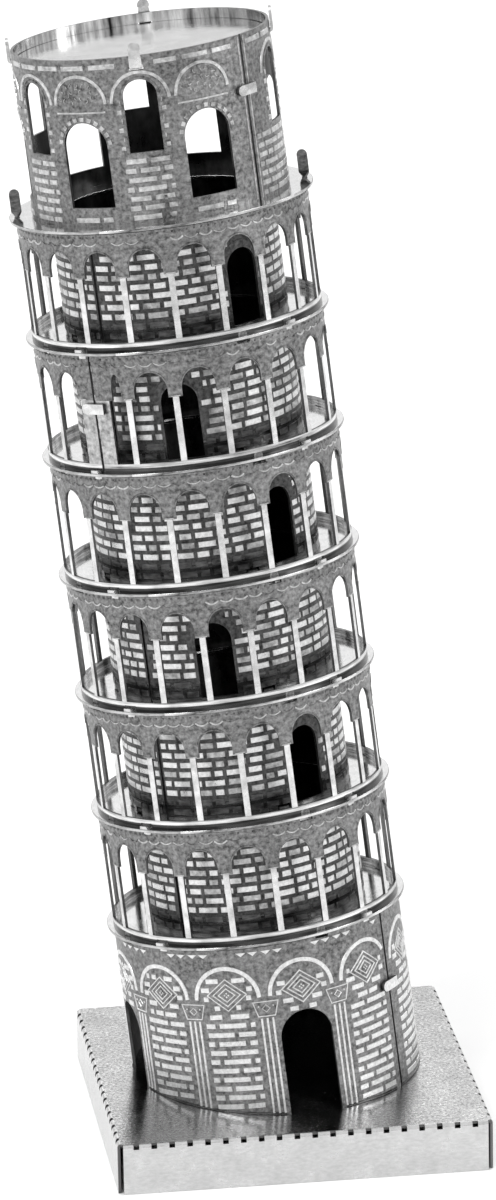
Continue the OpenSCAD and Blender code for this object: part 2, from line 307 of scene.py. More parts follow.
class Relief(Build):
    """Raised lines and blocks on a wall, closed and let a little into it."""

    SINK = 0.04

    def __init__(self, steel, r, z=0.0, height=0.07):
        super().__init__(steel)
        self.r, self.z, self.h = r, z, height

    def at(self, u, v, h):
        return self.point(cyl(math.degrees(u / self.r), self.r + h, self.z + v))

    def strip(self, rails, steel=None, loop=False):
        """Sweeps rows of four places: foot, shoulder, shoulder, foot, each as (u, v)."""
        rows = []
        for foot_a, top_a, top_b, foot_b in rails:
            rows.append(([self.at(*foot_a, -self.SINK), self.at(*top_a, self.h), self.at(*top_b, self.h),
                          self.at(*foot_b, -self.SINK)], [foot_a, top_a, top_b, foot_b]))
        pairs = list(zip(rows, rows[1:])) + ([(rows[-1], rows[0])] if loop else [])
        for (p, pu), (q, qu) in pairs:
            for k in range(4):
                m = (k + 1) % 4
                self.face([p[k], q[k], q[m], p[m]], [pu[k], qu[k], qu[m], pu[m]], steel)
        if not loop:
            self.face(rows[0][0], rows[0][1], steel)
            self.face(list(reversed(rows[-1][0])), list(reversed(rows[-1][1])), steel)

    def slab(self, u0, u1, v0, v1, steel=None, slope=0.06, tilt=0.0):
        """A raised rectangle, in short lengths so that it follows the wall."""
        n = max(1, math.ceil((u1 - u0) / 1.1))
        rails = []
        for i in range(n + 1):
            u = u0 + (u1 - u0) * i / n
            edge = slope if i == 0 else -slope if i == n else 0
            dv = tilt * (i / n - 0.5)
            rails.append(((u, v0 + dv), (u + edge, v0 + slope + dv), (u + edge, v1 - slope + dv), (u, v1 + dv)))
        self.strip(rails, steel)

    def band(self, path, w, steel=None, loop=False, slope=0.05):
        """A raised line along a path."""
        n, rails = len(path), []
        for i, (u, v) in enumerate(path):
            a = path[(i - 1) % n] if loop or i else path[i]
            b = path[(i + 1) % n] if loop or i < n - 1 else path[i]
            t1, t2 = (Vector((u, v)) - Vector(a)), (Vector(b) - Vector((u, v)))
            t1, t2 = (t1 if t1.length else t2).normalized(), (t2 if t2.length else t1).normalized()
            t = (t1 + t2).normalized()
            k = 1 / max(0.35, t.dot(t1))
            nu, nv = -t.y * k, t.x * k
            o, s = w / 2, max(0.01, w / 2 - slope)
            rails.append(((u - nu * o, v - nv * o), (u - nu * s, v - nv * s), (u + nu * s, v + nv * s),
                          (u + nu * o, v + nv * o)))
        self.strip(rails, steel, loop)

    def polygon(self, path, steel=None, slope=0.05):
        """A small raised convex shape."""
        cu, cv = sum(p[0] for p in path) / len(path), sum(p[1] for p in path) / len(path)
        top = []
        for u, v in path:
            d = math.hypot(u - cu, v - cv)
            k = max(0.2, 1 - slope / max(d, 1e-3))
            top.append((cu + (u - cu) * k, cv + (v - cv) * k))
        low = [self.at(u, v, -self.SINK) for u, v in path]
        high = [self.at(u, v, self.h) for u, v in top]
        self.face(high, top, steel)
        self.face(list(reversed(low)), list(reversed(path)), steel)
        n = len(path)
        for i in range(n):
            m = (i + 1) % n
            self.face([low[i], low[m], high[m], high[i]], [path[i], path[m], top[m], top[i]], steel)


def arc_path(cu, cv, r, n=14):
    """A half round in n lengths."""
    return [(cu + r * math.cos(math.pi * i / n), cv + r * math.sin(math.pi * i / n)) for i in range(n + 1)]


def tab(build, az, path, w=TAB_W, steel=None):
    """A strip of sheet of width w whose middle line follows path, as (radius, height)."""
    narrowed = 0.12  # how much each end is drawn in at each side
    rows, run = [], 0.0
    for i, (r, z) in enumerate(path):
        a, b = path[max(0, i - 1)], path[min(len(path) - 1, i + 1)]
        t = (Vector(b) - Vector(a)).normalized()
        nr, nz = -t.y * SHEET / 2, t.x * SHEET / 2
        if i:
            run += math.dist(path[i - 1], (r, z))
        end = narrowed if i in (0, len(path) - 1) else 0.0
        ids, uvs = [], []
        for side, s in ((-1, -1), (-1, 1), (1, 1), (1, -1)):
            x = side * (w / 2 - end)
            ids.append(build.point(cyl(az, r + s * nr, z + s * nz) + sideways(az) * x))
            uvs.append((x + s * 0.1, run))
        rows.append((ids, uvs))
    square_tube(build, rows, steel)


def square_tube(build, rows, steel):
    """Joins rows of four points, each with its map places, into a closed bar."""
    for (p, pu), (q, qu) in zip(rows, rows[1:]):
        for k in range(4):
            m = (k + 1) % 4
            build.face([p[k], p[m], q[m], q[k]], [pu[k], pu[m], qu[m], qu[k]], steel)
    build.face(list(reversed(rows[0][0])), list(reversed(rows[0][1])), steel)
    build.face(rows[-1][0], rows[-1][1], steel)


def extrude(build, front, back, outline, steel, rim):
    """A flat shape with two faces and a rim; outline is its map."""
    build.face(front, outline, steel)
    build.face(list(reversed(back)), list(reversed(outline)), steel)
    for k in range(len(outline)):
        j = (k + 1) % len(outline)
        build.face([front[j], front[k], back[k], back[j]], [outline[j], outline[k], outline[k], outline[j]], rim)


def fold(r, z, turn, reach):
    """Middle line of a tab that rises through a plate and is folded flat: turn is 1 outwards, -1 inwards."""
    bend, stem = 0.25, 0.9
    mid = r - SHEET / 2
    up = 1 if z > 0 else -1
    z = abs(z)
    curve = [(mid + turn * bend * (1 - math.cos(t)), up * (z - bend + bend * math.sin(t))) for t in BEND_ANGLES]
    return [(mid, up * (z - stem)), *curve, (mid + turn * reach, up * z)]


def four_tabs(build, az, r, z, up, turn=-1, steel=None):
    """Tabs at even quarters along a wall's edge at height z, folded inwards or outwards past the plate there."""
    path = [(out, v + z) for out, v in fold(r, up * FOLD_RISE, turn, REACH_IN if turn < 0 else REACH_OUT)]
    for k in range(4):
        tab(build, az + 90 * k, path, steel=steel)


def notches(az, r, low, high, start, end):
    """Holes at even quarters that let the next wall's tabs pass."""
    half = arc_deg(TAB_W / 2 + NOTCH_PLAY, r)
    at = [past(az + 90 * k, start) for k in range(4)]
    return [Hole(a - half, a + half, low, high) for a in at if a - half > start and a + half < end]


# ---- materials
def lin(s):
    """Linear value of a display grey."""
    return s / 12.92 if s <= 0.04045 else ((s + 0.055) / 1.055) ** 2.4


CLOUD_SCALE, SMUDGE = 0.35, 0.25  # size of the smudges, and the grain's share in the roughness
TONE_FROM, TONE_TO = 0.36, 0.64  # where the noise's middle is spread over the tones


def metal(name, dark, light, rough, spread=0.08, speck=4.0, speck_w=0.5, streak=(1.0, 1.0), bump=0.02, scratch=0.0):
    """Steel sheet: fine grain, smudges, worn spots and, where asked, drawn lines.

    dark and light are display greys and rough the middle roughness. speck is the grain's scale, speck_w its
    share in the tone, streak its stretch over the sheet and bump its depth in millimetres.
    """
    m = bpy.data.materials.new(name)
    m.use_nodes = True
    nt = m.node_tree
    nodes, link = nt.nodes, nt.links.new
    bsdf = nodes["Principled BSDF"]
    bsdf.inputs["Metallic"].default_value = 1.0
    uv = nodes.new("ShaderNodeUVMap")
    uv.uv_map = "sheet"
    stretch = nodes.new("ShaderNodeMapping")
    stretch.inputs["Scale"].default_value = (streak[0], streak[1], 1)
    link(uv.outputs["UV"], stretch.inputs["Vector"])

    def noise(scale, detail, source, roughness=0.55):
        n = nodes.new("ShaderNodeTexNoise")
        n.inputs["Scale"].default_value = scale
        n.inputs["Detail"].default_value = detail
        n.inputs["Roughness"].default_value = roughness
        link(source, n.inputs["Vector"])
        return n.outputs["Fac"]

    def math_node(op, a, b):
        n = nodes.new("ShaderNodeMath")
        n.operation = op
        for k, x in enumerate((a, b)):
            if isinstance(x, (int, float)):
                n.inputs[k].default_value = x
            else:
                link(x, n.inputs[k])
        return n.outputs[0]

    grain = noise(speck, 4, stretch.outputs["Vector"], 0.65)
    cloud = noise(CLOUD_SCALE, 3, uv.outputs["UV"])
    mix = math_node("ADD", math_node("MULTIPLY", grain, speck_w), math_node("MULTIPLY", cloud, 1 - speck_w))
    ramp = nodes.new("ShaderNodeValToRGB")
    for end, at, grey in zip(ramp.color_ramp.elements, (TONE_FROM, TONE_TO), (dark, light)):
        end.position, end.color = at, (lin(grey), lin(grey), lin(grey), 1)
    link(mix, ramp.inputs["Fac"])
    link(ramp.outputs["Color"], bsdf.inputs["Base Color"])
    rough_map = nodes.new("ShaderNodeMapRange")
    limits = {"From Min": 0.3, "From Max": 0.7, "To Min": max(0.02, rough - spread), "To Max": rough + spread}
    for socket, value in limits.items():
        rough_map.inputs[socket].default_value = value
    wear = math_node("ADD", math_node("MULTIPLY", cloud, 1 - SMUDGE), math_node("MULTIPLY", grain, SMUDGE))
    link(wear, rough_map.inputs["Value"])
    link(rough_map.outputs["Result"], bsdf.inputs["Roughness"])
    height = grain
    if scratch:
        lines = nodes.new("ShaderNodeMapping")
        lines.inputs["Scale"].default_value = (0.25, 14, 1)
        link(uv.outputs["UV"], lines.inputs["Vector"])
        height = math_node("ADD", math_node("MULTIPLY", grain, 1 - scratch),
                           math_node("MULTIPLY", noise(2.0, 5, lines.outputs["Vector"]), scratch))
    b = nodes.new("ShaderNodeBump")
    b.inputs["Strength"].default_value = 0.6
    b.inputs["Distance"].default_value = bump * MM
    link(height, b.inputs["Height"])
    link(b.outputs["Normal"], bsdf.inputs["Normal"])
    return m


BRIGHT = metal("raised_steel", 0.74, 0.92, 0.32, speck=2.6, speck_w=0.7, bump=0.03)
WORN = metal("worn_raised_steel", 0.56, 0.86, 0.34, speck=1.6, speck_w=0.7, bump=0.05)
MID = metal("half_worn_steel", 0.46, 0.82, 0.36, speck=1.5, speck_w=0.7, bump=0.06)
DIM = metal("dim_raised_steel", 0.20, 0.52, 0.34, speck=1.4, speck_w=0.7, streak=(0.6, 1.6), bump=0.05)
COLUMN = metal("column_steel", 0.68, 0.92, 0.26, speck=1.1, speck_w=0.5, bump=0.02)
ETCHED = metal("etched_steel", 0.28, 0.60, 0.40, speck=2.1, speck_w=0.75, bump=0.12)
MORTAR = metal("etched_mortar", 0.16, 0.40, 0.42, speck=2.2, speck_w=0.7, bump=0.08)
EDGE = metal("cut_edge", 0.26, 0.50, 0.4, speck=5, bump=0.03)
# painted dark: the shadow under each plate, and the dark reflection on the rail's lower half
SHADE_AND_DARK_REFLECTION = metal("painted_shade_and_dark_reflection", 0.04, 0.34, 0.2, speck=1.0, speck_w=0.8, streak=(0.12, 2.6), bump=0.01)
# painted bright reflection, for the rail's upper half and its inner face
RAIL_REFLECTION = metal("polished_rail_painted_reflection", 0.30, 0.95, 0.16, spread=0.06, speck=1.0, speck_w=0.85, streak=(0.12, 2.6),
             bump=0.01)
# painted bright and dark reflections, for the plates' outer edge and cut rim
EDGE_REFLECTION = metal("plate_edge_painted_reflection", 0.16, 0.95, 0.18, speck=0.9, speck_w=0.8, streak=(0.2, 0.8), bump=0.01)
# painted shade, for the core wall's foot under the gallery and the line where the ground wall meets the base
FOOT_SHADE = metal("shaded_foot", 0.07, 0.50, 0.24, speck=1.0, speck_w=0.8, streak=(0.3, 2.6), bump=0.02)
# painted shade, for the inner faces of the walls inside the tower
INSIDE_SHADE = metal("painted_inside_shade", 0.05, 0.30, 0.30, speck=0.8, speck_w=0.6, streak=(0.7, 0.3), bump=0.02, scratch=0.4)
# painted bright and dark reflections, for the belfry's inner face above the roof
RIM_REFLECTION = metal("shiny_rim_painted_reflection", 0.12, 0.95, 0.14, spread=0.05, speck=0.55, speck_w=0.85, streak=(0.8, 0.1), bump=0.008)
POLISHED = metal("polished_steel", 0.84, 0.95, 0.10, spread=0.05, speck=2.0, streak=(0.4, 2.0), bump=0.008,
                 scratch=0.5)
SKIRT = metal("brushed_skirt", 0.73, 0.83, 0.24, speck=2.4, speck_w=0.6, streak=(0.6, 1.4), bump=0.012, scratch=0.4)
SATIN = metal("satin_steel", 0.56, 0.84, 0.15, spread=0.05, speck=3.0, speck_w=0.9, bump=0.03)


# ---- base
def box_point(p):
    return (p + CENTRE) * MM


def make_base():
    """A folded tray: top, four skirts with a small bend radius, slits along each fold, open corners."""
    b = Build(SATIN, box_point)
    half, bend, corner = BASE_W / 2, 0.35, 0.55
    pitch, slit, slit_drop = 1.9, 0.6, 0.2  # of the slits; slit_drop is how far they run down past the fold
    crease, foot_round = 0.75, 0.05  # a line low on the skirt, and its softened foot
    n = math.floor((BASE_W - 2 * pitch) / pitch)
    marks = [(i - n / 2) * pitch for i in range(n + 1)]
    top_half, skirt_top = half - bend, BASE_H - bend
    lines = sorted({corner - half, half - corner, *(m - slit / 2 for m in marks), *(m + slit / 2 for m in marks)})
    webs = [(a0, a1) for a0, a1 in zip(lines, lines[1:]) if all(abs((a0 + a1) / 2 - m) >= slit / 2 for m in marks)]

    def folded(layer):
        """Profile of the fold's outer or inner face, from the top's edge down, as (outward, height)."""
        r = bend - SHEET * layer
        curve = [(top_half + r * math.sin(a), skirt_top + r * math.cos(a)) for a in BEND_ANGLES[1:]]
        return [(top_half, BASE_H - SHEET * layer), *curve]

    def straight(layer, *heights):
        return [(half - SHEET * layer, z) for z in heights]

    for k in range(4):
        turn = Matrix.Rotation(math.radians(90 * k), 3, "Z")

        def block(a0, a1, profile):
            """A length of skirt or fold between two places along the side; profile(0) is its outer face."""
            both = [*profile(0), *reversed(profile(1))]
            rows = [[b.point(turn @ Vector((a, -out, z))) for out, z in both] for a in (a0, a1)]
            m = len(both)
            run = [0.0]
            for p, q in zip(both, both[1:]):
                run.append(run[-1] + math.dist(p, q))
            for i in range(m):
                j = (i + 1) % m
                v0, v1 = run[i], run[i] + math.dist(both[i], both[j])
                b.face([rows[0][i], rows[1][i], rows[1][j], rows[0][j]],
                       [(a0, v0), (a1, v0), (a1, v1), (a0, v1)], SKIRT)
            for row, a in ((rows[0], a0), (list(reversed(rows[1])), a1)):
                b.face(row, [(a + 0.1 * i, 0.1 * i) for i in range(m)], EDGE)

        for a0, a1 in webs:
            block(a0, a1, folded)
        block(corner - half, half - corner, lambda layer: [
            *straight(layer, skirt_top - slit_drop, crease, foot_round),
            (half - SHEET * layer + (foot_round if layer else -foot_round), 0.0)])
        for a0, a1 in webs:
            block(a0, a1, lambda layer: straight(layer, skirt_top, skirt_top - slit_drop))
    corners = [(-top_half, -top_half), (top_half, -top_half), (top_half, top_half), (-top_half, top_half)]
    top, under = [[b.point(Vector((x, y, z))) for x, y in corners] for z in (BASE_H, BASE_H - SHEET)]
    b.face(top, corners)
    b.face(list(reversed(under)), list(reversed(corners)))
    for i in range(4):
        j = (i + 1) % 4
        b.face([top[j], top[i], under[i], under[j]], [(0, 0), (1, 0), (1, SHEET), (0, SHEET)], EDGE)
    b.piece("base_tray", "satin_steel", ["base"], smooth=40)


# ---- plates
def make_plate(i):
    z = GROUND_H + (i - 1) * PITCH
    name = f"floor_plate_{i}" if i < 7 else "terrace_plate"
    b = Build(POLISHED)
    start, rounding = -30, 0.07
    holes = []

    def slots(az, r):
        lip = arc_deg(TAB_W / 2 + PLAY, r)
        for k in range(4):
            a = (az + 90 * k) % 360
            if a + lip > start + 360:
                a -= 360
            holes.append(Hole(a - lip, a + lip, r - SHEET - PLAY, r + PLAY))

    if i < 7:
        slots(ARCADE_TOP_AZ, WALL_R)
        slots(ARCADE_FOOT_AZ, WALL_R)
        slots(CORE_FOOT_AZ, CORE_R)
    else:
        slots(TONGUE_AZ, WALL_R)
        slots(BELFRY_FOOT_AZ, BELFRY_R)
    if i > 1:
        slots(CORE_TOP_AZ, CORE_R)
    # the plate's outer edge band and its cut rim carry painted reflections
    sheet(b, start, start + 360, HOLE_R, PLATE_R, flat(z), holes, cuts=(HOLE_R + rounding, PLATE_R - rounding),
          outside=lambda u, v: EDGE_REFLECTION if v > PLATE_R - rounding else POLISHED, rim=EDGE_REFLECTION, step=2.0, closed=True)
    b.piece(name + "_sheet", "polished_steel", [name], bevel=0.06)


# ---- arcades
def arcade_seam(i):
    return SEAM_COLUMN[i - 1] * STEP + arc_deg(SEAM_SHIFT, WALL_R)


def make_arcade(i):
    """A rolled arcade: rail, columns, arches and frieze, with one place of the ring taken by the seam's posts."""
    z = GROUND_H + SHEET + (i - 1) * PITCH
    shade_under_plate = 0.2  # height of the painted shadow under the top edge, below the plate
    turn, split = ARCADE_TURN[i - 1], SEAM_COLUMN[i - 1]
    seam = turn + arcade_seam(i)
    start, end = seam_edges(seam, WALL_R)
    b = Build(ETCHED)
    centres = [(past(turn + (k + 0.5) * STEP, start), OPENING_W) for k in range(ARCHES)
               if k not in (split % ARCHES, (split - 1) % ARCHES)]
    for side in (-1, 1):
        lost = POST_W + (SEAM - COLUMN_W) / 2 + side * SEAM_SHIFT
        az = turn + (split + side / 2) * STEP + side * arc_deg(lost / 2, WALL_R)
        centres.append((past(az, start), OPENING_W - lost))
    holes = [hole for az, w in centres for hole in arcade_holes(az, w)]
    holes += notches(ARCADE_TOP_AZ, WALL_R, 0, SHEET + NOTCH_PLAY, start, end)
    if i < 6:
        holes += notches(ARCADE_FOOT_AZ, WALL_R, STOREY_H - SHEET - NOTCH_PLAY, STOREY_H, start, end)
    post = arc_deg(POST_W, WALL_R)

    def outside(u, v):
        if RAIL_H < v < CAPITAL_Z and min(u - start, end - u) < post:
            return MID
        # the rail is painted in two halves: the lower dark as a dark reflection, the upper bright as a reflected
        # highlight
        if v < RAIL_H:
            return SHADE_AND_DARK_REFLECTION if v < RAIL_H / 2 else RAIL_REFLECTION
        # just under the plate, the frieze's top strip is painted dark as the plate's shadow
        return COLUMN if v < CAPITAL_Z else SHADE_AND_DARK_REFLECTION if v > STOREY_H - shade_under_plate else ETCHED

    sheet(b, start, end, 0, STOREY_H, rolled(WALL_R, z), holes, cuts=(RAIL_H / 2, RAIL_H, CAPITAL_Z, STOREY_H - shade_under_plate),
          outside=outside, inside=lambda u, v: RAIL_REFLECTION if v < RAIL_H else INSIDE_SHADE, rim=EDGE)
    four_tabs(b, ARCADE_FOOT_AZ, WALL_R, z, -1)
    if i < 6:
        four_tabs(b, ARCADE_TOP_AZ, WALL_R, z + STOREY_H, 1, turn=1, steel=COLUMN)
    else:
        for k in range(4):
            tongue(b, TONGUE_AZ + 90 * k, z + STOREY_H)
    lock_tab(b, WALL_R, seam, z + STOREY_H / 2, COLUMN)
    b.piece(f"arcade_{i}_sheet", "etched_steel", [f"arcade_{i}"])
    arcade_relief(i, z, centres, start, end)


def lock_tab(b, r, az, z, steel):
    """A tab that crosses a wall's seam on the outside, with a round end."""
    out, half, reach, turns = r + PLAY + SHEET / 2, TAB_W / 2, 1.5, 7
    right = SEAM / 2 + TAB_W
    ends = [math.pi / 2 + math.pi * t / turns for t in range(turns + 1)]
    outline = [(half - reach + half * math.cos(a), half * math.sin(a)) for a in ends]
    n = max(2, math.ceil(reach / 0.8))
    along = [half - reach + (right + reach - half) * k / n for k in range(n + 1)]
    outline += [(u, -half) for u in along[1:]] + [(u, half) for u in reversed(along[1:])]
    front, back = [[b.point(cyl(az + arc_deg(u, r), out + side * SHEET / 2, z + half + v)) for u, v in outline]
                   for side in (1, -1)]
    extrude(b, front, back, outline, steel, EDGE)


def tongue(b, az, z):
    """An upright tongue turned a quarter on its stem, so that it points outwards."""
    r, half, high = WALL_R - SHEET / 2, TAB_W / 2, 3.3
    levels = [(-0.1, 0.0), (0.35, 0.0), (0.6, 25), (0.85, 55), (1.1, 80), (1.35, 90), (high - half, 90)]
    levels += [(high - half + half * math.sin(t), 90) for t in (0.35, 0.7, 1.05, 1.3, 1.5)]
    thinnest = 0.06
    rows = []
    for v, twist in levels:
        w = half if v <= high - half else half * math.sqrt(max(0.0, 1 - ((v - high + half) / half) ** 2))
        w = max(w, thinnest)
        rot = Matrix.Rotation(math.radians(az + twist), 3, "Z")
        centre = cyl(az, r, z + v)
        row = [b.point(centre + rot @ Vector((x, y, 0))) for x, y in
               ((-w, -SHEET / 2), (w, -SHEET / 2), (w, SHEET / 2), (-w, SHEET / 2))]
        rows.append((row, [(-w, v), (w, v), (w + 0.3, v), (-w - 0.3, v)]))
    square_tube(b, rows, DIM)


def arcade_relief(i, z, centres, start, end):
    """A wavy line and a row of dots on the frieze, a lip round each head and lines on the capitals."""
    r = Relief(WORN, WALL_R, z)
    mm = per_degree(WALL_R)
    rng = random.Random(100 + i)
    margin, pitch = 0.9, 1.55
    wave_z, wave_half, dot, dots_low, dots_high = STOREY_H - 1.13, 0.68, 0.13, STOREY_H - 0.62, STOREY_H - 0.40
    lip, lip_w, cap_half = 0.16, 0.12, 0.5
    u, last = start * mm + margin, end * mm - margin
    n = int((last - u) / pitch)
    for k in range(n):
        c = u + (k + 0.5) * (last - u) / n
        dip = 0.28 + rng.uniform(-0.05, 0.05)
        path = [(c + wave_half * x, wave_z - dip * (1 - x * x)) for x in (-1, -0.6, -0.2, 0.2, 0.6, 1)]
        r.band(path, rng.uniform(0.16, 0.26), WORN if rng.random() < 0.7 else ETCHED)
        for s in (-0.25, 0.25):
            at = c + s * pitch
            r.slab(at - dot, at + dot, dots_low, dots_high, DIM, slope=0.04)
    rise = STOREY_H - FRIEZE_H - CAPITAL_Z - FRIEZE_GAP
    foot = STOREY_H - FRIEZE_H - rise
    for az, w in centres:
        cu = az * mm
        half = w / 2 - (CAPITAL_W - COLUMN_W) / 2 + lip
        if half < 1:
            continue
        path = [(cu + half * math.cos(math.radians(a)), foot + (rise + lip) * math.sin(math.radians(a)))
                for a in range(20, 161, 10)]
        r.band(path, lip_w, ETCHED)
        for s in (-1, 1):
            edge = cu + s * (w / 2 + COLUMN_W / 2)
            r.slab(edge - cap_half, edge + cap_half, CAPITAL_Z + 0.02, CAPITAL_Z + 0.16, slope=0.03)
    r.piece(f"arcade_{i}_frieze", "etched_steel")


# ---- brickwork
def clip(a, b, blocked):
    """What is left of a to b outside the blocked stretches."""
    parts = [(a, b)]
    for lo, hi in blocked:
        parts = [q for p in parts for q in ((p[0], min(p[1], lo)), (max(p[0], hi), p[1])) if q[1] - q[0] > 1e-6]
    return parts


def courses(relief, u0, u1, v0, count, pitch, height, lengths, gap, blocked, rng):
    """Bricks in courses; the lengths repeat and each course starts at another place."""
    least, shaded_below, half_worn = 0.42, 1.8, 0.35
    for k in range(count):
        v = v0 + k * pitch
        u = u0 - rng.uniform(0, sum(lengths))
        j = k % len(lengths)
        walls = blocked(v, v + height)
        while u < u1:
            length = lengths[j % len(lengths)] * rng.uniform(0.94, 1.06)
            for a, b in clip(max(u, u0), min(u + length, u1), walls):
                if b - a > least:
                    # bricks low on the wall lie in its painted foot shade and get the dim steel
                    steel = DIM if v < shaded_below else MID if rng.random() < half_worn else BRIGHT
                    relief.slab(a, b, v + rng.uniform(-0.02, 0.02), v + height, steel,
                                tilt=rng.uniform(-0.02, 0.02))
            u += length + gap
            j += 1


def make_core(i):
    """A rolled inner wall with painted shade along its foot, one round-headed door and bricks in courses."""
    z = GROUND_H + SHEET + (i - 1) * PITCH
    # height of the painted shade along the wall's foot, under the gallery
    shaded_foot = 1.9
    start, end = seam_edges(CORE_SEAM_AZ, CORE_R)
    mm = per_degree(CORE_R)
    door = past(CORE_DOOR_AZ[i - 1], start)
    holes = arch_holes(door, CORE_DOOR_W, CORE_SILL, CORE_DOOR_H, CORE_R)
    clear = arc_deg(CORE_DOOR_W / 2 + TAB_W / 2 + NOTCH_PLAY, CORE_R)
    if i > 1:
        holes += [h for h in notches(CORE_TOP_AZ, CORE_R, 0, SHEET + NOTCH_PLAY, start, end)
                  if abs((h.a + h.b) / 2 - door) > clear]
    if i < 6:
        holes += notches(CORE_FOOT_AZ, CORE_R, STOREY_H - SHEET - NOTCH_PLAY, STOREY_H, start, end)
    b = Build(MORTAR)
    sheet(b, start, end, 0, STOREY_H, rolled(CORE_R, z), holes, cuts=(shaded_foot,), step=3, radius=CORE_R,
          outside=lambda u, v: FOOT_SHADE if v < shaded_foot else MORTAR, inside=lambda u, v: INSIDE_SHADE, rim=EDGE)
    four_tabs(b, CORE_FOOT_AZ, CORE_R, z, -1)
    four_tabs(b, CORE_TOP_AZ, CORE_R, z + STOREY_H, 1)
    b.piece(f"core_wall_{i}_sheet", "etched_steel", [f"core_wall_{i}"])

    relief = Relief(BRIGHT, CORE_R, z, 0.06)
    half, spring = CORE_DOOR_W / 2, CORE_DOOR_H - CORE_DOOR_W / 2
    beside, over = 0.28, 1.15  # how far the bricks stay from the door

    def blocked(v0, v1):
        v = (v0 + v1) / 2
        if v < spring:
            w = half + beside
        else:
            w = math.sqrt(max(0.0, (half + over) ** 2 - (v - spring) ** 2))
        return [(door * mm - w, door * mm + w)] if w > 0 else []

    courses(relief, start * mm + 0.2, end * mm - 0.2, v0=0.45, count=12, pitch=1.03, height=0.68,
            lengths=(2.0, 1.0, 2.1, 1.4), gap=0.34, blocked=blocked, rng=random.Random(7 + i))
    relief.h = 0.04  # the band over the door is lower than the bricks
    relief.band(arc_path(door * mm, spring, half + 0.55, n=18), 0.75, MORTAR)
    relief.piece(f"core_wall_{i}_bricks", "etched_steel")


# ---- ground wall
CAPITAL_LOW, CAPITAL_HIGH = 9.75, 11.35
BLIND_SPRING, BLIND_R = 11.9, 3.45
DIAMOND_Z = 12.4


def make_ground():
    """The ground storey's wall, with four doors and twelve blind arches."""
    # height of the strip under the plate that is painted dark as its shadow
    shade_below_plate = 0.25
    start, end = seam_edges(GROUND_SEAM_AZ, WALL_R)
    mm = per_degree(WALL_R)
    lo, hi = start * mm, end * mm

    def foot(u):
        """The wall's foot is cut level with the base's top, which the leaning tower meets at a slant."""
        p = LEAN @ cyl(u, WALL_R, 0)
        axis = LEAN @ Vector((0, 0, 1))
        return -p.z / axis.z

    head = GROUND_H - DOOR_DROP
    doors = [past(DOOR_AZ + 90 * k, start) for k in range(4)]
    holes = [hole for d in doors for hole in arch_holes(d, DOOR_W, foot, head, WALL_R)]
    holes += notches(ARCADE_FOOT_AZ, WALL_R, GROUND_H - SHEET - NOTCH_PLAY, GROUND_H, start, end)
    b = Build(ETCHED)
    sheet(b, start, end, foot, GROUND_H, rolled(WALL_R), holes, cuts=(GROUND_H - shade_below_plate,),
          outside=lambda u, v: SHADE_AND_DARK_REFLECTION if v > GROUND_H - shade_below_plate else ETCHED, inside=lambda u, v: INSIDE_SHADE, rim=EDGE)
    four_tabs(b, ARCADE_TOP_AZ, WALL_R, GROUND_H, 1, turn=1, steel=BRIGHT)
    lock_tab(b, WALL_R, GROUND_SEAM_AZ, GROUND_H / 2, BRIGHT)
    b.piece("ground_wall_sheet", "etched_steel", ["ground_wall"])

    relief = Relief(BRIGHT, WALL_R)
    rng = random.Random(3)
    half_bay = BAY * mm / 2
    for k in range(12):
        az = past(DOOR_AZ + BAY * k, start)
        cu = az * mm
        for s in (-1, 0, 1):  # the flutes of the pilaster beside this bay
            u = cu + half_bay + s * 0.6
            if lo + 0.4 < u < hi - 0.4:
                relief.slab(u - 0.15, u + 0.15, foot(math.degrees(u / WALL_R)) + 0.12, CAPITAL_LOW - 0.2, slope=0.05)
        ground_capital(relief, cu + half_bay, lo, hi)
        arch = [p for p in arc_path(cu, BLIND_SPRING, BLIND_R, n=20) if lo + 0.3 < p[0] < hi - 0.3]
        if len(arch) > 3:
            relief.band(arch, 0.52)
        ground_diamond(relief, cu, lo, hi)
        ground_bricks(relief, cu, foot(az), k % 3 == 0, head, rng, lo, hi)
        for s in (-1.95, -0.7, 0.7, 1.95):  # small triangles under the top edge
            u = cu + half_bay + s
            if lo + 0.5 < u < hi - 0.5:
                relief.polygon([(u - 0.58, 16.95), (u, 16.48), (u + 0.58, 16.95)])
    # painted shade: a dark line along the foot, where the wall meets the base, between the doors
    joint, n, margin = [], 144, 0.8
    beside_door = arc_deg(DOOR_W / 2 + 0.12, WALL_R)
    for i in range(n + 1):
        az = start + margin + (end - start - 2 * margin) * i / n
        if i < n and all(abs(az - d) > beside_door for d in doors):
            joint.append((az * mm, foot(az) + 0.13))
        elif len(joint) > 1:
            relief.band(joint, 0.24, FOOT_SHADE)
            joint = []
    relief.piece("ground_wall_relief", "etched_steel")


def ground_capital(relief, cu, lo, hi):
    """A trapezoid with a small diamond in it."""
    if cu - 1.5 < lo or cu + 1.5 > hi:
        return
    outline = [(cu - 0.9, CAPITAL_LOW), (cu + 0.9, CAPITAL_LOW), (cu + 1.35, CAPITAL_HIGH), (cu - 1.35, CAPITAL_HIGH)]
    relief.band(outline, 0.18, loop=True)
    relief.band([(cu - 0.42, 10.6), (cu, 10.2), (cu + 0.42, 10.6), (cu, 11.0)], 0.14, loop=True)
    for s in (-1, 1):
        relief.slab(cu + s * 0.78 - 0.1, cu + s * 0.78 + 0.1, 10.75, 10.97, slope=0.04)


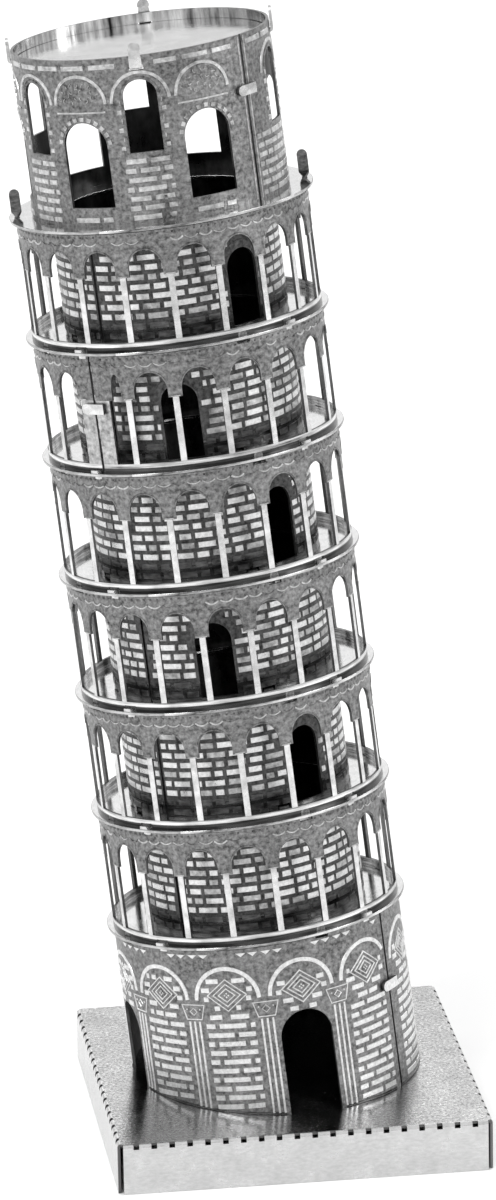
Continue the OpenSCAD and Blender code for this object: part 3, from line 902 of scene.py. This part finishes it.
def ground_diamond(relief, cu, lo, hi):
    """Three nested diamonds round four small ones."""
    if cu - 2.3 < lo or cu + 2.3 > hi:
        return
    cv, small = DIAMOND_Z, 0.14
    for k in (1.0, 0.70, 0.42):
        w, h = 2.15 * k, 1.75 * k
        path = []
        corners = [(cu - w, cv), (cu, cv - h), (cu + w, cv), (cu, cv + h)]
        for p, q in zip(corners, corners[1:] + corners[:1]):
            path += [p, ((p[0] + q[0]) / 2, (p[1] + q[1]) / 2)]
        relief.band(path, 0.19, loop=True)
    for x, y in ((-0.2, 0), (0.2, 0), (0, -0.2), (0, 0.2)):
        relief.polygon([(cu + x - small, cv + y), (cu + x, cv + y - small), (cu + x + small, cv + y),
                        (cu + x, cv + y + small)], slope=0.03)


def ground_bricks(relief, cu, low, door, head, rng, lo, hi):
    """Bricks of one bay, clear of its door, its capitals, its blind arch and its diamond."""
    rows = [(3.0, 1.9), (1.2, 3.0, 0.7), (1.9, 3.0), (0.9, 3.0, 1.0)]
    joint, height = 0.4, 0.6
    half, spring = DOOR_W / 2, head - DOOR_W / 2
    for k in range(15):
        v = low + 0.45 + k * 1.0
        if v > 14.6:
            break
        v1 = v + height
        mid = (v + v1) / 2
        limit, blocked = 2.75, []
        if v1 >= CAPITAL_LOW - 0.05:
            limit = 2.2 if v <= 11.3 else math.sqrt(max(0.0, 3.12 ** 2 - (max(mid + 0.15 - BLIND_SPRING, 0)) ** 2))
            w = 0.12 + 2.4 * max(0.0, 1 - abs(mid - DIAMOND_Z) / 2.05)
            blocked = [(cu - w, cu + w)]
        if door:
            if mid < spring:
                continue
            w = math.sqrt(max(0.0, (half + 0.35) ** 2 - (mid - spring) ** 2))
            blocked.append((cu - w, cu + w))
        row = rows[k % 4]
        u = cu - (sum(row) + joint * (len(row) - 1)) / 2
        for length in row:
            for a, b in clip(max(u, cu - limit), min(u + length, cu + limit), blocked):
                a, b = max(a, lo + 0.3), min(b, hi - 0.3)
                if b - a > 0.4:
                    relief.slab(a, b, v, v1, tilt=rng.uniform(-0.03, 0.03))
            u += length + joint


# ---- belfry and roof
def make_belfry():
    """The belfry's wall, with high and low windows by turns, and blind arches over both."""
    z = TERRACE + SHEET
    start, end = seam_edges(BELFRY_SEAM_AZ, BELFRY_R)
    mm = per_degree(BELFRY_R)
    bays = [(past(BELFRY_AZ + BELFRY_BAY * k, start), k % 2 == 0) for k in range(-10, 2)]
    holes = []
    for az, high in bays:
        opening = (HIGH_W, HIGH_SILL, HIGH_HEAD) if high else (LOW_W, LOW_SILL, LOW_HEAD)
        holes += arch_holes(az, *opening, BELFRY_R)
    slit = arc_deg(ROOF_TAB_W / 2 + PLAY, BELFRY_R)
    for k in range(4):
        a = past(BELFRY_AZ + 90 * k, start)
        holes.append(Hole(a - slit, a + slit, ROOF_Z - PLAY, ROOF_Z + SHEET + PLAY))
    b = Build(ETCHED)
    # inside, the wall carries painted reflections above the roof and painted shade below it
    sheet(b, start, end, 0, BELFRY_H, rolled(BELFRY_R, z), holes, cuts=(ROOF_Z,), radius=BELFRY_R,
          inside=lambda u, v: RIM_REFLECTION if v > ROOF_Z else INSIDE_SHADE, rim=EDGE)
    four_tabs(b, BELFRY_FOOT_AZ, BELFRY_R, z, -1)
    lock_tab(b, BELFRY_R, BELFRY_SEAM_AZ, z + BELFRY_H * 0.64, COLUMN)
    b.piece("belfry_wall_sheet", "etched_steel", ["belfry_wall"])

    relief = Relief(WORN, BELFRY_R, z, 0.09)
    spring, pitch, brick = 12.8, 0.95, 0.55  # the blind arches, and the bricks beside the high windows
    rng = random.Random(21)
    lo, hi = start * mm, end * mm
    for az, high in bays:
        cu = az * mm
        relief.band([p for p in arc_path(cu, spring, 3.0, n=20) if lo + 0.25 < p[0] < hi - 0.25], 0.42)
        if high:
            relief.band(arc_path(cu, HIGH_HEAD - HIGH_W / 2, HIGH_W / 2 + 0.3, n=14), 0.14, ETCHED)
            belfry_bricks(relief, cu, 0.35, 7, 2.55, rng)
            for s in (-1, 1):
                for k in range(7):
                    v = 7.7 + k * pitch
                    if v < spring:
                        u0 = cu + s * (HIGH_W / 2 + 0.25)
                        u1 = cu + s * (2.6 - 0.35 * (k % 2))
                        relief.slab(min(u0, u1), max(u0, u1), v, v + brick)
        else:
            relief.band([(cu - 2.9, 11.95), (cu, 11.95), (cu + 2.9, 11.95)], 0.26)
            belfry_leaves(relief, cu, spring - 0.2, rng)
            r0, r1 = LOW_W / 2 + 0.15, LOW_W / 2 + 0.65
            c = LOW_HEAD - LOW_W / 2
            for k in range(11):  # small stones round the window's head
                a0, a1 = math.radians(4 + k * 15.8), math.radians(4 + k * 15.8 + 10.5)
                quad = [(cu + rr * math.cos(a), c + rr * math.sin(a)) for rr, a in
                        ((r0, a0), (r1, a0), (r1, a1), (r0, a1))]
                relief.polygon(quad, MID, slope=0.06)
            belfry_bricks(relief, cu, 0.35, 1, 2.5, rng)
    for u in (lo + 0.3, hi - 0.3):  # a raised line along each edge of the seam
        relief.slab(u - 0.09, u + 0.09, 0.15, BELFRY_H - 0.15, slope=0.04)
    for k in range(7):  # bricks between the seam and the next bay
        v = 0.35 + k * 0.98
        cut = lo + (1.3, 2.1, 1.7)[k % 3]
        relief.slab(lo + 0.65, cut, v, v + 0.6)
        relief.slab(cut + 0.3, lo + 3.4, v, v + 0.6)
    u = lo + 0.6
    while u < hi - 3:  # a row of bricks under the rim
        length = rng.uniform(2.3, 3.0)
        if all(abs(u + length / 2 - past(BELFRY_AZ + 90 * k, start) * mm) > length / 2 + 0.9 for k in range(4)):
            relief.slab(u, u + length, BELFRY_H - 1.15, BELFRY_H - 0.55)
        u += length + 0.5
    relief.piece("belfry_wall_relief", "etched_steel")


def belfry_leaves(relief, cu, cv, rng):
    """Loose curls that fill the blind half round."""
    for ring, count in ((1.0, 4), (1.75, 7), (2.4, 9)):
        for k in range(count):
            a = math.radians(14 + 152 * (k + rng.uniform(0.2, 0.8)) / count)
            r = ring + rng.uniform(-0.15, 0.15)
            x, y, turn = cu + r * math.cos(a), cv + r * math.sin(a), rng.uniform(0, math.tau)
            bow = rng.uniform(0.16, 0.26)
            relief.band([(x + bow * math.cos(turn + t), y + bow * math.sin(turn + t)) for t in (0, 0.8, 1.6, 2.4)],
                        0.15, MID, slope=0.04)


def belfry_bricks(relief, cu, v0, count, limit, rng):
    """Courses of bricks under a window."""
    rows = [(3.0, 1.2), (1.2, 2.1, 1.0), (2.2, 2.1), (0.8, 3.0, 0.6)]
    joint = 0.35
    for k in range(count):
        v = v0 + k * 0.98
        row = rows[k % 4]
        u = cu - (sum(row) + joint * (len(row) - 1)) / 2
        for length in row:
            a, b = max(u, cu - limit), min(u + length, cu + limit)
            if b - a > 0.4:
                relief.slab(a, b, v, v + 0.6, tilt=rng.uniform(-0.03, 0.03))
            u += length + joint


def make_roof():
    """A disc inside the belfry's rim, with four tabs that pass through its wall and are bent up."""
    z = TERRACE + SHEET + ROOF_Z
    b = Build(POLISHED)
    rim = BELFRY_R - SHEET - PLAY
    n, radii = 120, (2.0, 5.0, 8.0, 10.5, rim)
    middle = [b.point(Vector((0, 0, z + SHEET * (1 - layer)))) for layer in (0, 1)]
    rings = [[[b.point(cyl(360 / n * k, r, z + SHEET * (1 - layer))) for k in range(n)] for r in radii]
             for layer in (0, 1)]

    def spot(r, k):
        return (r * math.sin(math.tau * k / n), r * math.cos(math.tau * k / n))

    for k in range(n):
        j = (k + 1) % n
        for layer in (0, 1):
            ring = rings[layer]
            b.face([middle[layer], ring[0][k], ring[0][j]], [(0, 0), spot(radii[0], k), spot(radii[0], j)])
            for m in range(len(radii) - 1):
                b.face([ring[m][k], ring[m + 1][k], ring[m + 1][j], ring[m][j]],
                       [spot(radii[m], k), spot(radii[m + 1], k), spot(radii[m + 1], j), spot(radii[m], j)])
        b.face([rings[0][-1][k], rings[0][-1][j], rings[1][-1][j], rings[1][-1][k]],
               [spot(rim, k), spot(rim, j), spot(rim + SHEET, j), spot(rim + SHEET, k)])
    out, bend, high = BELFRY_R + PLAY + SHEET / 2, 0.2, 2.0
    curve = [(out - bend + bend * math.sin(t), SHEET / 2 + bend - bend * math.cos(t)) for t in (0, 0.4, 0.8, 1.2, 1.57)]
    path = [(r, v + z) for r, v in [(rim - 1.0, SHEET / 2), *curve, (out, 1.2), (out, high)]]
    for k in range(4):
        tab(b, BELFRY_AZ + 90 * k, path, ROOF_TAB_W, COLUMN)
        roof_tip(b, BELFRY_AZ + 90 * k, out, z + high - 0.01)
    b.piece("roof_disc_sheet", "polished_steel", ["roof_disc"])


def roof_tip(b, az, r, z):
    """The round head of a roof tab."""
    half, lift = ROOF_TAB_W / 2, 0.15
    outline = [(half, 0.0), *((half * math.cos(math.radians(a)), lift + half * math.sin(math.radians(a)))
                              for a in range(0, 181, 15)), (-half, 0.0)]
    front, back = [[b.point(cyl(az, r + side * SHEET / 2, z + v) + sideways(az) * x) for x, v in outline]
                   for side in (1, -1)]
    extrude(b, front, back, outline, COLUMN, COLUMN)


# ---- studio
def make_studio():
    """A pale floor, a white sky that darkens towards the horizon, and three soft lights."""
    horizon, white_above = 0.26, 0.11
    floor = bpy.data.meshes.new("floor")
    size = 2.5
    floor.from_pydata([(-size, -size, 0), (size, -size, 0), (size, size, 0), (-size, size, 0)], [], [(0, 1, 2, 3)])
    obj = bpy.data.objects.new("floor", floor)
    bpy.context.scene.collection.objects.link(obj)
    m = bpy.data.materials.new("floor_paper")
    m.use_nodes = True
    bsdf = m.node_tree.nodes["Principled BSDF"]
    bsdf.inputs["Base Color"].default_value = (0.86, 0.86, 0.86, 1)
    bsdf.inputs["Roughness"].default_value = 0.9
    bsdf.inputs["Specular IOR Level"].default_value = 0.1
    floor.materials.append(m)

    world = bpy.data.worlds.new("studio")
    bpy.context.scene.world = world
    world.use_nodes = True
    nt = world.node_tree
    back = nt.nodes["Background"]
    coord = nt.nodes.new("ShaderNodeTexCoord")
    split = nt.nodes.new("ShaderNodeSeparateXYZ")
    ramp = nt.nodes.new("ShaderNodeValToRGB")
    nt.links.new(coord.outputs["Generated"], split.inputs[0])
    nt.links.new(split.outputs["Z"], ramp.inputs["Fac"])
    e = ramp.color_ramp.elements
    e[0].position, e[0].color = 0.0, (horizon, horizon, horizon, 1)
    e[1].position, e[1].color = 1.0, (1.0, 1.0, 1.0, 1)
    mid = e.new(white_above)
    mid.color = (1.0, 1.0, 1.0, 1)
    nt.links.new(ramp.outputs["Color"], back.inputs["Color"])
    back.inputs["Strength"].default_value = 1.0

    def area(name, at, size, power, target=(0, 0.02, 0.05)):
        """A rectangular light aimed at the tower."""
        data = bpy.data.lights.new(name, "AREA")
        data.shape, data.size, data.size_y, data.energy = "RECTANGLE", size[0], size[1], power
        light = bpy.data.objects.new(name, data)
        light.location = at
        light.rotation_mode = "QUATERNION"
        light.rotation_quaternion = (Vector(target) - Vector(at)).to_track_quat("-Z", "Y")
        bpy.context.scene.collection.objects.link(light)

    area("key", (-0.55, -0.48, 0.85), (0.5, 0.5), 6.0)
    area("fill", (0.8, -0.33, 0.45), (0.3, 0.6), 2.2)
    area("back", (0.1, 0.92, 0.7), (0.9, 0.3), 3.0)


def make_camera():
    """The photograph's viewing angle: a long lens, a little above the object and turned to its left."""
    az, el, roll, distance = math.radians(-7.3111), math.radians(18.4143), math.radians(-1.049), 0.76472
    target = Vector((-0.0025965, 0.01985, 0.0584916))
    right = Vector((math.cos(az), math.sin(az), 0))
    back = Vector((math.sin(az) * math.cos(el), -math.cos(az) * math.cos(el), math.sin(el)))
    up = back.cross(right)
    r2 = right * math.cos(roll) + up * math.sin(roll)
    u2 = up * math.cos(roll) - right * math.sin(roll)
    data = bpy.data.cameras.new("camera")
    data.lens, data.sensor_width = 217.158, 36.0
    data.clip_start, data.clip_end = 0.01, 20.0
    cam = bpy.data.objects.new("camera", data)
    cam.matrix_world = Matrix.Translation(target + back * distance) @ Matrix((r2, u2, back)).transposed().to_4x4()
    bpy.context.scene.collection.objects.link(cam)
    bpy.context.scene.camera = cam


make_camera()
make_studio()
bpy.context.scene.view_settings.view_transform = "Standard"
make_base()
make_ground()
for storey in range(1, 7):
    make_arcade(storey)
    make_core(storey)
for level in range(1, 8):
    make_plate(level)
make_belfry()
make_roof()
